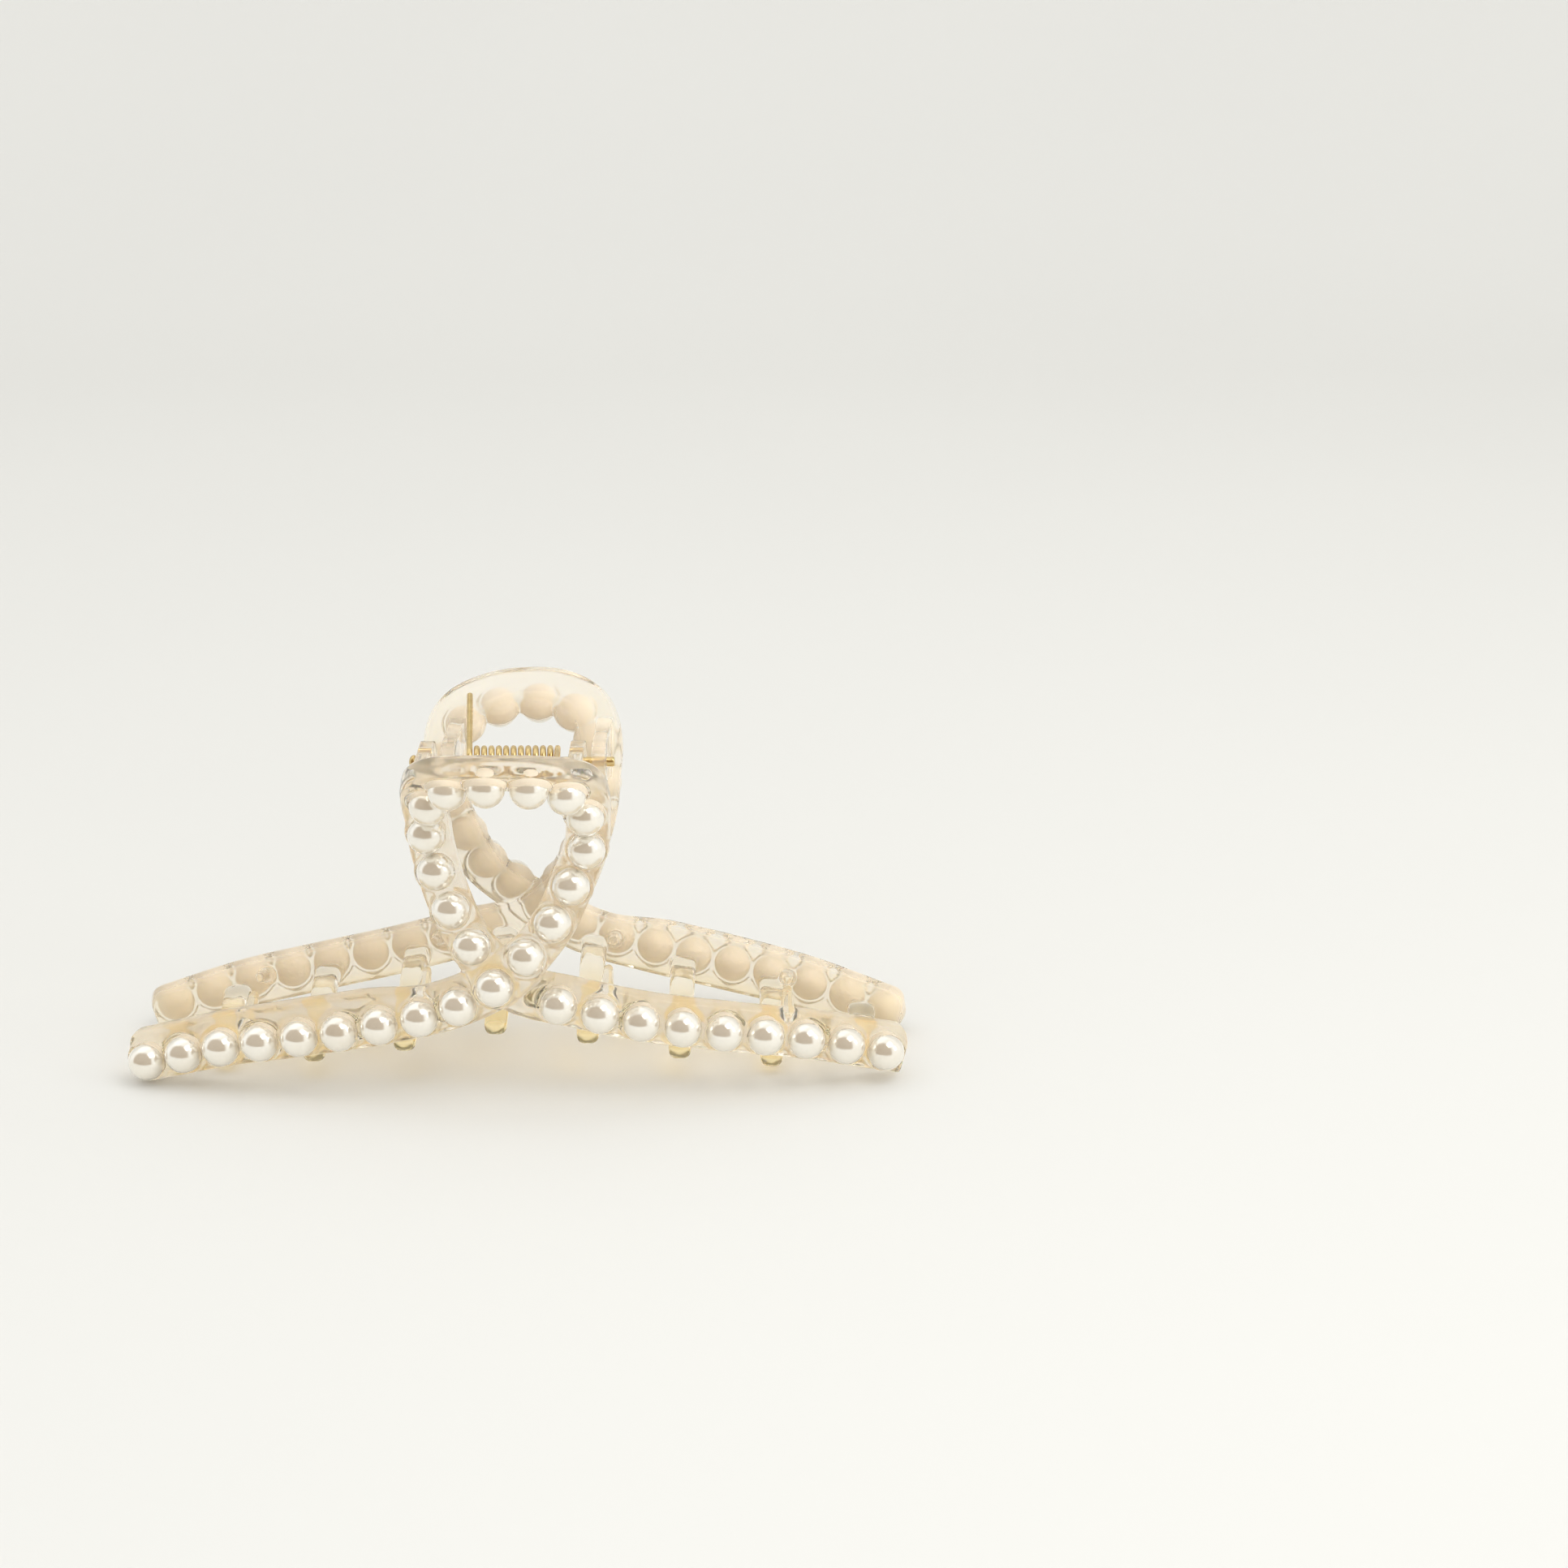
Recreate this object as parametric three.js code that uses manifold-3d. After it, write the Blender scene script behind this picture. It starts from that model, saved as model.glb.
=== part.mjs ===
// A criss-cross loop claw clip for hair: two identical clear jaws set with pearls,
// a pin through their lugs and a torsion spring that holds them shut.
//
// Frame: X along the hinge pin, Y from the front jaw to the rear jaw, Z up.
// The origin is on the surface that the clip stands on, under the middle of the pin.
// Everything is in millimetres. One jaw is modelled at the front, facing -Y,
// and the rear jaw is the same moulding turned half a turn about Z.
import * as THREE from 'three';
import { mergeVertices } from 'three/addons/utils/BufferGeometryUtils.js';
import Module from 'manifold-3d';

const wasm = await Module();
wasm.setup();

// ---- driving dimensions ----

// Pearls, and the cups that they sit in
const PEARL_RADIUS = 3.0;
const PEARL_PITCH = 6.62;
const PEARL_LIFT = 0.9;          // pearl centre above the band's outer face
const LOOP_PEARLS = 15;          // from the crossing, round the loop and back
const OVER_ARM_PEARLS = 9;       // on the arm that runs over the crossing
const UNDER_ARM_PEARLS = 9;      // on the arm that runs under it
const UNDER_ARM_FIRST = 7.5;     // how far out the under arm's first pearl is
const UNDER_ARM_FIRST_HEIGHT = 17;
const CUP_RADIUS = 3.75;         // to the corners of its eight sides
const SEAT_RADIUS = 3.42;        // the same, for the pocket that the pearl is glued in
const SEAT_FLOOR = -2.35;        // pocket's floor, from the outer face
const CUP_RIM = 0.9;             // rim above the outer face
const CUP_ROOT = 1.6;            // cup below the outer face
const CUP_SIDES = 8;
const SEAT_TOP = 2.9;            // the pocket is cut from this high above the outer face
const PEARL_SIDES = 8;
const PEARL_RINGS = 5;
const GLUE_RADIUS = 0.6;         // glue bridge between two pearls of a pair
const GLUE_CHANNEL = 0.9;        // radius of the channel cut for the bridge
const GLUE_SIDES = 6;

// The band that each jaw is bent from
const BAND_WIDTH = 8.0;
const LOOP_NARROWER = 1.0;       // the band is this much narrower on the loop
const NARROW_FROM = 18;          // heights between which it narrows
const NARROW_TO = 28;
const RIM_SHIFT = 1.6;           // round the grip's rim the band runs outside the pearls'
const RIM_FROM = 43;             // line, and it moves out there between these heights
const RIM_TO = 52;
const OVER_ARM_EXTRA = 1.4;      // the over arm is this much taller above its pearls
const EXTRA_FROM = 12;           // how far out it starts to grow, and has grown,
const EXTRA_TO = 24;
const EXTRA_FADE = 30;           // and between these it loses half of that again
const EXTRA_END = 60;
const BAND_THICKNESS = 3.5;
const BAND_CHAMFER = 0.5;
const BAND_STEP = 4.6;           // length of one straight facet
const BAND_MEET = 0.64;          // where its two lengths meet, from the left arm's end
const ARM_REACH = 62;            // middle of the clip to the end of an arm
const ARM_BOW = 7.2;             // how far the arms curve back at the end pearls
const BOW_REACH = 60.5;
const OVER_LIFT = 0.9;           // one band above, the other below, at the crossing
const CROSSING_HEIGHT = 21;
const CROSSING_LENGTH = 9;       // how quickly that lift fades along the band

// Hinge
const HINGE_HEIGHT = 50.5;
const PIN_RADIUS = 0.78;
const PIN_LEFT = -15.6;          // inner face of the pin's head
const PIN_RIGHT = 15.9;
const PIN_HEAD_RADIUS = 1.15;
const PIN_HEAD_HEIGHT = 1.0;
const PIN_DOME = [[0, 1], [0.6, 0.85], [1, 0.35], [1, 0]];  // parts of its radius and height
const PIN_CHAMFER = 0.2;
const PIN_SIDES = 16;
const LUG_RADIUS = 3.4;
const LUG_WIDTH = 2.4;
const LUG_HOLE = 1.1;
const LUG_ROOT = [[-9.2, 45.0], [-12.6, 47.2], [-15.2, 52.4], [-13.4, 53.4]];  // out, height
const OUTER_LUG = -13.6;         // middle of each lug of the front jaw
const INNER_LUG = 10.2;

// Torsion spring
const WIRE_RADIUS = 0.42;
const COIL_RADIUS = 2.2;         // to the middle of the wire
const COIL_TURNS = 12;
const COIL_PITCH = 1.16;
const COIL_STEPS = 8;            // straight pieces in one turn
const WIRE_SIDES = 5;
const REAR_LEG = [-1.3, 15.3, 6.5];  // end of each leg, from the middle of its end of
const FRONT_LEG = [0.6, -12.5, 2.4];  // the coil

// Teeth and the small pegs between them
const TOOTH_PITCH = 14.7;
const TEETH = 8;
const TOOTH_WIDTH = 4.2;
const TOOTH_DEPTH = 3.0;
const TOOTH_REACH = 9.5;         // past the middle of the clip
const TOOTH_CLEAR = 2.2;         // to the inner face of the other jaw
const TOOTH_DROP = 8.8;          // from the band's middle line to the tip, at mid clip
const TOOTH_DROP_LOSS = 2.6;     // and how much less that is at the arm's end
const TOOTH_TIP_LOW = 0.6;       // no tip's middle is lower, so the end teeth stand flat
const TOOTH_ROOT = 1.2;          // let into the arm
const TOOTH_FLAT = 0.6;          // flat top and bottom, as a part of the width
const TOOTH_TAPER = [1, 1, 1, 0.97, 0.9, 0.55];
const TOOTH_ROOT_DROP = 0.6;     // root below the band's middle line
const TOOTH_BEND = 0.62;         // first bend, as a part of the way out to the arm,
const TOOTH_BEND_DROP = 1.4;     // and how far it is below the middle line
const TOOTH_CROSS_DROP = 1.6;    // the same on the way across the middle plane, where it
const TOOTH_CROSS = 0.4;         // has also come this part of the way down to the tip
const PEG_PLACES = [-43, -14.5, 14.5, 43];
const PEG_LENGTH = 9;
const PEG_ROOT_RADIUS = 1.3;
const PEG_TIP_RADIUS = 0.8;
const PEG_SIDES = 8;
const PEG_ROOT = 1;              // let into the arm
const PEG_SLOPE = 0.35;
const PEG_ABOVE = 1.2;           // root above the band's middle line

// ---- the jaw's surface ----

// Outer face in the YZ plane at the middle of the clip: height, and how far out.
const PROFILE = [
  [-6, 16.4], [8, 16.8], [20, 17.0], [24.2, 15.8], [29, 14.0], [34.6, 12.3],
  [40.4, 11.7], [46.3, 13.2], [50.8, 16.2], [53.3, 19.2], [55.4, 23.0], [57, 26.8],
];

// The middle line of the band's outer face: across, and height. The two arms are mirror
// images but for the rise of the one that runs under. The loop's two limbs differ a little:
// the band goes up the right limb from the crossing, and comes down the left one.
const ARM_LINE = [
  [62, 3.0], [59.2, 3.8], [47, 7.3], [34.5, 9.8], [21, 12.6], [10, 15.6],
];
const LOOP_UP = [
  [-2.5, 19.5], [2.2, 23.5], [6.4, 28.3], [9.4, 34.1], [12.0, 40.5], [12.0, 46.5],
  [9.5, 51.5], [4.4, 53.5], [-0.1, 54.0],
];
const LOOP_DOWN = [
  [-4.7, 53.9], [-9.6, 52.3], [-12.3, 47.9], [-12.6, 41.6], [-10.9, 34.7], [-8.1, 28.4],
  [-4.1, 22.7], [0.6, 18.1],
];
const UNDER_ARM_RISE = 1.3;      // the under arm ends this much higher

// Straight interpolation of how far out the profile is would leave creases, so it is
// a cubic through the profile's points with slopes taken from their neighbours.
function profileOut(height) {
  let i = 0;
  while (i < PROFILE.length - 2 && height > PROFILE[i + 1][0]) i += 1;
  const [z0, y0] = PROFILE[i];
  const [z1, y1] = PROFILE[i + 1];
  const slope = (a, b) => (PROFILE[b][1] - PROFILE[a][1]) / (PROFILE[b][0] - PROFILE[a][0]);
  const before = slope(Math.max(i - 1, 0), i + 1);
  const after = slope(i, Math.min(i + 2, PROFILE.length - 1));
  const span = z1 - z0;
  const t = (height - z0) / span;
  return y0 * (1 + 2 * t) * (1 - t) ** 2 + before * span * t * (1 - t) ** 2
    + y1 * t * t * (3 - 2 * t) + after * span * t * t * (t - 1);
}

// How far the outer face is from the middle plane at a place on it.
function outAt(across, height) {
  return profileOut(height) - ARM_BOW * (across / BOW_REACH) ** 2;
}

// The outward direction of the outer face of the front jaw.
function normalAt(across, height) {
  const d = 0.05;
  const dAcross = (outAt(across + d, height) - outAt(across - d, height)) / (2 * d);
  const dHeight = (outAt(across, height + d) - outAt(across, height - d)) / (2 * d);
  return new THREE.Vector3(-dAcross, -1, -dHeight).normalize();
}

function onFace(across, height) {
  return new THREE.Vector3(across, -outAt(across, height), height);
}

// ---- the band ----

// One line runs the whole length of the band: in from the end of the left arm, over the
// crossing, round the loop, back under the crossing and out along the right arm.
function bandLine() {
  const [inmost] = ARM_LINE.at(-1);
  const rise = (x) => UNDER_ARM_RISE * (x - inmost) / (ARM_REACH - inmost);
  const start = ARM_LINE.map(([x, z]) => [-x, z]);
  const end = ARM_LINE.map(([x, z]) => [x, z + rise(x)]).reverse();
  return new THREE.CatmullRomCurve3([...start, ...LOOP_UP, ...LOOP_DOWN, ...end]
    .map(([x, z]) => onFace(x, z)), false, 'centripetal');
}

const line = bandLine();
const lineLength = line.getLength();

// Over the crossing the band stands proud of the face, and under it it is sunk.
function crossingLift(distance, point) {
  const away = point.distanceTo(onFace(0, CROSSING_HEIGHT)) / CROSSING_LENGTH;
  const side = distance < lineLength / 2 ? 1 : -1;
  return side * OVER_LIFT * Math.exp(-away * away);
}

// Where the band is at a distance along its line, and which ways it faces there.
function bandFrame(distance) {
  const u = Math.min(distance / lineLength, 1);
  const point = line.getPointAt(u);
  const along = line.getTangentAt(u);
  const out = normalAt(point.x, point.z);
  const across = new THREE.Vector3().crossVectors(out, along).normalize();
  out.crossVectors(along, across).normalize();
  point.addScaledVector(out, crossingLift(distance, point));
  return { point, along, across, out };
}

// ---- solids ----

function solidOf(geometry) {
  const bare = geometry.clone();
  bare.deleteAttribute('normal');
  bare.deleteAttribute('uv');
  const merged = mergeVertices(bare, 1e-5);
  return new wasm.Manifold(new wasm.Mesh({
    numProp: 3,
    vertProperties: new Float32Array(merged.attributes.position.array),
    triVerts: new Uint32Array(merged.index.array),
  }));
}

function geometryOf(solid) {
  const mesh = solid.getMesh();
  const geometry = new THREE.BufferGeometry();
  geometry.setAttribute('position', new THREE.BufferAttribute(mesh.vertProperties, 3));
  geometry.setIndex(new THREE.BufferAttribute(mesh.triVerts, 1));
  return geometry;
}

function joined(geometries) {
  return geometries.map(solidOf).reduce((all, one) => all.add(one));
}

// Cutting the seats frees a few chips of cup wall between pearls, which are dropped.
function largestPart(solid) {
  return solid.decompose().reduce((a, b) => (b.volume() > a.volume() ? b : a));
}

// A closed skin over rings that all have the same number of points, with flat ends.
function skin(rings) {
  const count = rings[0].length;
  const positions = rings.flat().flatMap((p) => [p.x, p.y, p.z]);
  const faces = [];
  for (let ring = 0; ring + 1 < rings.length; ring += 1) {
    for (let i = 0; i < count; i += 1) {
      const next = (i + 1) % count;
      const a = ring * count + i;
      const b = ring * count + next;
      faces.push(a, b, b + count, a, b + count, a + count);
    }
  }
  const last = (rings.length - 1) * count;
  for (let i = 1; i + 1 < count; i += 1) {
    faces.push(0, i + 1, i, last, last + i, last + i + 1);
  }
  const geometry = new THREE.BufferGeometry();
  geometry.setAttribute('position', new THREE.Float32BufferAttribute(positions, 3));
  geometry.setIndex(faces);
  return geometry;
}

// How much taller the band is on the upper side of the over arm.
function overArmExtra(x) {
  const grown = THREE.MathUtils.smoothstep(-x, EXTRA_FROM, EXTRA_TO);
  return OVER_ARM_EXTRA * grown * (1 - THREE.MathUtils.smoothstep(-x, EXTRA_FADE, EXTRA_END) / 2);
}

// The band's section at a point of its line: a flat bar with chamfered edges, its outer
// face at 0. Low is the lower side of an arm and the outer side of the loop.
function bandSection(point) {
  const narrower = LOOP_NARROWER * THREE.MathUtils.smoothstep(point.z, NARROW_FROM, NARROW_TO);
  const shift = RIM_SHIFT * THREE.MathUtils.smoothstep(point.z, RIM_FROM, RIM_TO);
  const low = -(BAND_WIDTH - narrower) / 2 - shift;
  const high = (BAND_WIDTH - narrower) / 2 - shift + overArmExtra(point.x);
  const c = BAND_CHAMFER;
  const deep = -BAND_THICKNESS;
  return [
    [low, -c], [low, deep + c], [low + c, deep], [high - c, deep],
    [high, deep + c], [high, -c], [high - c, 0], [low + c, 0],
  ];
}

// The band crosses itself, so it is made in two lengths that meet on one ring, three
// quarters of the way round the loop, and are then joined.
function bandParts() {
  const steps = Math.round(lineLength / BAND_STEP);
  const rings = [];
  for (let i = 0; i <= steps; i += 1) {
    const frame = bandFrame(lineLength * i / steps);
    rings.push(bandSection(frame.point).map(([w, n]) => frame.point.clone()
      .addScaledVector(frame.across, w).addScaledVector(frame.out, n)));
  }
  const meet = Math.round(steps * BAND_MEET);
  return [skin(rings.slice(0, meet + 1)), skin(rings.slice(meet))];
}

// ---- pearls and cups ----

// Pearls are a pitch apart along the band, counted from the one at the crossing. The
// right arm has its own row, because the crossing hides the band that joins the two.
function pearlFrames() {
  const crossing = nearestDistance(onFace(...LOOP_UP[0]), 0, 0.5);
  const underStart = nearestDistance(onFace(UNDER_ARM_FIRST, UNDER_ARM_FIRST_HEIGHT), 0.5, 1);
  const row = (count, start, step) => Array.from({ length: count },
    (_, i) => bandFrame(start + i * step));
  return {
    loop: row(LOOP_PEARLS, crossing, PEARL_PITCH),
    over: row(OVER_ARM_PEARLS, crossing - PEARL_PITCH, -PEARL_PITCH),
    under: row(UNDER_ARM_PEARLS, underStart, PEARL_PITCH),
  };
}

// The distance along the band of the place nearest to a point, in one stretch of it.
function nearestDistance(target, from, to) {
  const samples = 600;
  let best = from;
  for (let i = 0; i <= samples; i += 1) {
    const u = from + (to - from) * i / samples;
    if (line.getPointAt(u).distanceTo(target) < line.getPointAt(best).distanceTo(target)) best = u;
  }
  return best * lineLength;
}

function pearlCentre(frame) {
  return frame.point.clone().addScaledVector(frame.out, PEARL_LIFT);
}

// Turns a shape made about Y into a place on the band, with Y along the outward normal.
function placeOnBand(geometry, frame, lift) {
  const turn = new THREE.Matrix4().makeBasis(
    frame.along, frame.out, frame.along.clone().cross(frame.out));
  const place = frame.point.clone().addScaledVector(frame.out, lift);
  return geometry.applyMatrix4(turn).translate(place.x, place.y, place.z);
}

function pearlBall(frame) {
  return placeOnBand(new THREE.SphereGeometry(PEARL_RADIUS, PEARL_SIDES, PEARL_RINGS), frame, PEARL_LIFT);
}

function cup(frame) {
  const geometry = new THREE.CylinderGeometry(
    CUP_RADIUS, CUP_RADIUS, CUP_RIM + CUP_ROOT, CUP_SIDES).rotateY(Math.PI / CUP_SIDES);
  return placeOnBand(geometry, frame, (CUP_RIM - CUP_ROOT) / 2);
}

function seat(frame) {
  const height = SEAT_TOP - SEAT_FLOOR;
  const geometry = new THREE.CylinderGeometry(
    SEAT_RADIUS, SEAT_RADIUS, height, CUP_SIDES).rotateY(Math.PI / CUP_SIDES);
  return placeOnBand(geometry, frame, SEAT_FLOOR + height / 2);
}

function bridge(first, second, radius) {
  const a = pearlCentre(first);
  const b = pearlCentre(second);
  const geometry = new THREE.CylinderGeometry(radius, radius, a.distanceTo(b), GLUE_SIDES);
  geometry.applyQuaternion(new THREE.Quaternion().setFromUnitVectors(
    new THREE.Vector3(0, 1, 0), b.clone().sub(a).normalize()));
  const middle = a.add(b).multiplyScalar(0.5);
  return geometry.translate(middle.x, middle.y, middle.z);
}

// ---- teeth, pegs and lugs ----

// Height of the band's middle line on an arm.
function armHeight(across) {
  const [from, to] = across < 0 ? [0, 0.3] : [0.7, 1];
  const target = new THREE.Vector3(across, -outAt(across, 10), 10);
  return line.getPointAt(nearestDistance(target, from, to) / lineLength).z;
}

// A tooth is a bar that curves from the inner face of the arm, down and across the
// middle plane, to a rounded tip under the other jaw.
function tooth(across) {
  const arm = armHeight(across);
  const inner = outAt(across, arm) - BAND_THICKNESS;
  const reach = Math.min(TOOTH_REACH, inner - TOOTH_CLEAR);
  const drop = TOOTH_DROP - TOOTH_DROP_LOSS * Math.abs(across) / ARM_REACH;
  const tip = Math.max(arm - drop, TOOTH_TIP_LOW);
  const cross = (arm - TOOTH_CROSS_DROP) * (1 - TOOTH_CROSS) + tip * TOOTH_CROSS;
  const spine = new THREE.CatmullRomCurve3([
    new THREE.Vector3(across, -inner - TOOTH_ROOT, arm - TOOTH_ROOT_DROP),
    new THREE.Vector3(across, -inner * TOOTH_BEND, arm - TOOTH_BEND_DROP),
    new THREE.Vector3(across, 0, cross),
    new THREE.Vector3(across, reach, tip),
  ], false, 'centripetal');
  const steps = TOOTH_TAPER.length - 1;
  return skin(TOOTH_TAPER.map((taper, i) => {
    const point = spine.getPointAt(i / steps);
    const along = spine.getTangentAt(i / steps);
    const up = new THREE.Vector3(0, -along.z, along.y).normalize();
    const w = TOOTH_WIDTH / 2 * taper;
    const flat = w * TOOTH_FLAT;
    const h = TOOTH_DEPTH / 2 * taper;
    return [[-w, 0], [-flat, h], [flat, h], [w, 0], [flat, -h], [-flat, -h]]
      .map(([x, n]) => new THREE.Vector3(x, 0, 0).add(point).addScaledVector(up, n));
  }));
}

function peg(across) {
  const arm = armHeight(across);
  const inner = outAt(across, arm) - BAND_THICKNESS;
  const geometry = new THREE.CylinderGeometry(
    PEG_TIP_RADIUS, PEG_ROOT_RADIUS, PEG_LENGTH, PEG_SIDES);
  geometry.translate(0, PEG_LENGTH / 2 - PEG_ROOT, 0);
  geometry.applyQuaternion(new THREE.Quaternion().setFromUnitVectors(
    new THREE.Vector3(0, 1, 0), new THREE.Vector3(0, 1, PEG_SLOPE).normalize()));
  return geometry.translate(across, -inner, arm + PEG_ABOVE);
}

// A lug is a plate across the hinge line: round about the pin, and let into the grip.
function lug(middle) {
  const outline = new THREE.Shape();
  outline.absarc(0, HINGE_HEIGHT, LUG_RADIUS, Math.PI / 2, -Math.PI / 2, true);
  for (const [out, height] of LUG_ROOT) outline.lineTo(out, height);
  const hole = new THREE.Path();
  hole.absarc(0, HINGE_HEIGHT, LUG_HOLE, 0, 2 * Math.PI, false);
  outline.holes.push(hole);
  const geometry = new THREE.ExtrudeGeometry(outline,
    { depth: LUG_WIDTH, bevelEnabled: false, curveSegments: 5 });
  const place = new THREE.Matrix4().makeBasis(new THREE.Vector3(0, 1, 0),
    new THREE.Vector3(0, 0, 1), new THREE.Vector3(1, 0, 0));
  return geometry.applyMatrix4(place).translate(middle - LUG_WIDTH / 2, 0, 0);
}

// ---- whole pieces ----

const frames = pearlFrames();
const allFrames = [...frames.loop, ...frames.over, ...frames.under];

function jawSolid(pairs) {
  const places = [];
  for (let i = 0; i < TEETH; i += 1) places.push((i - TEETH / 2 + 0.25) * TOOTH_PITCH);
  let jaw = joined([
    ...bandParts(), ...allFrames.map(cup), ...places.map(tooth),
    ...PEG_PLACES.map(peg), lug(OUTER_LUG), lug(INNER_LUG),
  ]);
  for (const frame of allFrames) jaw = jaw.subtract(solidOf(seat(frame)));
  for (const [a, b] of pairs) jaw = jaw.subtract(solidOf(bridge(a, b, GLUE_CHANNEL)));
  const below = new THREE.BoxGeometry(200, 100, 20).translate(0, 0, -10);
  return largestPart(jaw.subtract(solidOf(below)));
}

function pinGeometry() {
  const dome = PIN_DOME.map(([radius, height]) => [
    PIN_HEAD_RADIUS * radius, PIN_LEFT - PIN_HEAD_HEIGHT * height]);
  const shank = [
    [PIN_RADIUS, PIN_LEFT], [PIN_RADIUS, PIN_RIGHT - PIN_CHAMFER],
    [PIN_RADIUS - PIN_CHAMFER, PIN_RIGHT], [0, PIN_RIGHT],
  ];
  const profile = [...dome, ...shank].map(([x, y]) => new THREE.Vector2(x, y));
  return new THREE.LatheGeometry(profile, PIN_SIDES)
    .rotateZ(-Math.PI / 2).translate(0, 0, HINGE_HEIGHT);
}

// The wire's line: in along one leg, round the turns and out along the other leg.
function springGeometry() {
  const half = COIL_TURNS * COIL_PITCH / 2;
  const legEnd = ([x, y, z], side) => new THREE.Vector3(side * half + x, y, HINGE_HEIGHT + z);
  const points = [legEnd(REAR_LEG, -1)];
  const total = COIL_TURNS * COIL_STEPS;
  for (let i = 0; i <= total; i += 1) {
    const angle = Math.PI / 2 + 2 * Math.PI * i / COIL_STEPS;
    points.push(new THREE.Vector3(-half + COIL_PITCH * i / COIL_STEPS,
      COIL_RADIUS * Math.cos(angle), HINGE_HEIGHT + COIL_RADIUS * Math.sin(angle)));
  }
  points.push(legEnd(FRONT_LEG, 1));
  const rings = points.map((point, i) => {
    const along = points[Math.min(i + 1, points.length - 1)].clone()
      .sub(points[Math.max(i - 1, 0)]).normalize();
    const right = new THREE.Vector3(1, 0, 0).addScaledVector(along, -along.x).normalize();
    const up = new THREE.Vector3().crossVectors(along, right);
    return Array.from({ length: WIRE_SIDES }, (_, k) => point.clone()
      .addScaledVector(right, WIRE_RADIUS * Math.cos(2 * Math.PI * k / WIRE_SIDES))
      .addScaledVector(up, WIRE_RADIUS * Math.sin(2 * Math.PI * k / WIRE_SIDES)));
  });
  return skin(rings);
}

// ---- the clip ----

const CLEAR_PEACH = new THREE.MeshStandardMaterial({ color: 0xf3dcbc, roughness: 0.08, metalness: 0 });
const PEARL_IVORY = new THREE.MeshStandardMaterial({ color: 0xf2ece0, roughness: 0.2, metalness: 0 });
const PALE_GOLD = new THREE.MeshStandardMaterial({ color: 0xc9a869, roughness: 0.25, metalness: 1 });

function piece(name, geometry, material) {
  const mesh = new THREE.Mesh(geometry, material);
  mesh.name = name;
  return mesh;
}

// Pearls on an arm are held in pairs, and an odd one and those of the loop are single.
function pairsOf(list) {
  const pairs = [];
  for (let i = 0; i + 1 < list.length; i += 2) pairs.push([list[i], list[i + 1]]);
  return pairs;
}

const overPairs = pairsOf(frames.over);
const underPairs = pairsOf(frames.under);
const moulding = geometryOf(jawSolid([...overPairs, ...underPairs]));

function halfClip(prefix) {
  const half = new THREE.Group();
  half.add(piece(`${prefix}_jaw`, moulding, CLEAR_PEACH));
  const label = (i) => String(i + 1).padStart(2, '0');
  frames.loop.forEach((frame, i) => {
    half.add(piece(`${prefix}_loop_pearl_${label(i)}`, pearlBall(frame), PEARL_IVORY));
  });
  [['over', overPairs], ['under', underPairs]].forEach(([arm, pairs]) => {
    pairs.forEach(([a, b], i) => {
      const pair = geometryOf(joined([pearlBall(a), bridge(a, b, GLUE_RADIUS), pearlBall(b)]));
      half.add(piece(`${prefix}_${arm}_arm_pearls_${label(i)}`, pair, PEARL_IVORY));
    });
    const odd = frames[arm].length % 2 ? frames[arm].at(-1) : null;
    if (odd) half.add(piece(`${prefix}_${arm}_arm_end_pearl`, pearlBall(odd), PEARL_IVORY));
  });
  return half;
}

const clip = new THREE.Group();
const rear = halfClip('rear');
rear.rotation.z = Math.PI;
clip.add(halfClip('front'), rear);
clip.add(piece('hinge_pin', pinGeometry(), PALE_GOLD));
clip.add(piece('torsion_spring', springGeometry(), PALE_GOLD));

export default clip;
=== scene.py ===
"""The looks of the criss-cross loop claw clip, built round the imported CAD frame.

Lengths in the script are in millimetres until a mesh is made, and the frame is the
CAD's: X along the hinge pin, Y from the front jaw to the rear jaw, Z up.
"""
import math

import bmesh
import bpy
import numpy as np
from mathutils import Matrix, Vector


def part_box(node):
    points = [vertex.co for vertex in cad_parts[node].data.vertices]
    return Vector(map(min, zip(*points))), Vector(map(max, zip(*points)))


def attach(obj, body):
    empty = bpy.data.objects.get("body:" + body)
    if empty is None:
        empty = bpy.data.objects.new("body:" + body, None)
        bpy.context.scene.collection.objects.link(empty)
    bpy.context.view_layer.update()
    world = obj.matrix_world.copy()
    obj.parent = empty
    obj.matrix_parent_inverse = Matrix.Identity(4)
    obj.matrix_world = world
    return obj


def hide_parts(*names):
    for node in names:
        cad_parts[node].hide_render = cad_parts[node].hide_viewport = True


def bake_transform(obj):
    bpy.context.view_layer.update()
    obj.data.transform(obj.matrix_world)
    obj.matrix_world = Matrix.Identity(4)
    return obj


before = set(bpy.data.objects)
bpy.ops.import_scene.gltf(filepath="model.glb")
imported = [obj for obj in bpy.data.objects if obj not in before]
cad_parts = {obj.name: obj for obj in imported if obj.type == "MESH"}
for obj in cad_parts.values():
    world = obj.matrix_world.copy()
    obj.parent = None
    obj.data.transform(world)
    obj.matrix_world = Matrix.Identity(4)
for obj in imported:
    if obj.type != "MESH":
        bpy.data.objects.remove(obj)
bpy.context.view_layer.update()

MM = 0.001
BODIES = {"front": "front_half", "rear": "rear_half"}

# ---- sizes, as in the CAD unless a comment says otherwise ----

PEARL_RADIUS = 3.0
PEARL_PITCH = 6.62
PEARL_LIFT = 0.9            # pearl centre above the band's outer face
LOOP_PEARLS = 15            # from the crossing, round the loop and back
ARM_PEARLS = 9              # on each arm
UNDER_ARM_FIRST = (7.5, 17)  # across and height of the under arm's first pearl

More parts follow.
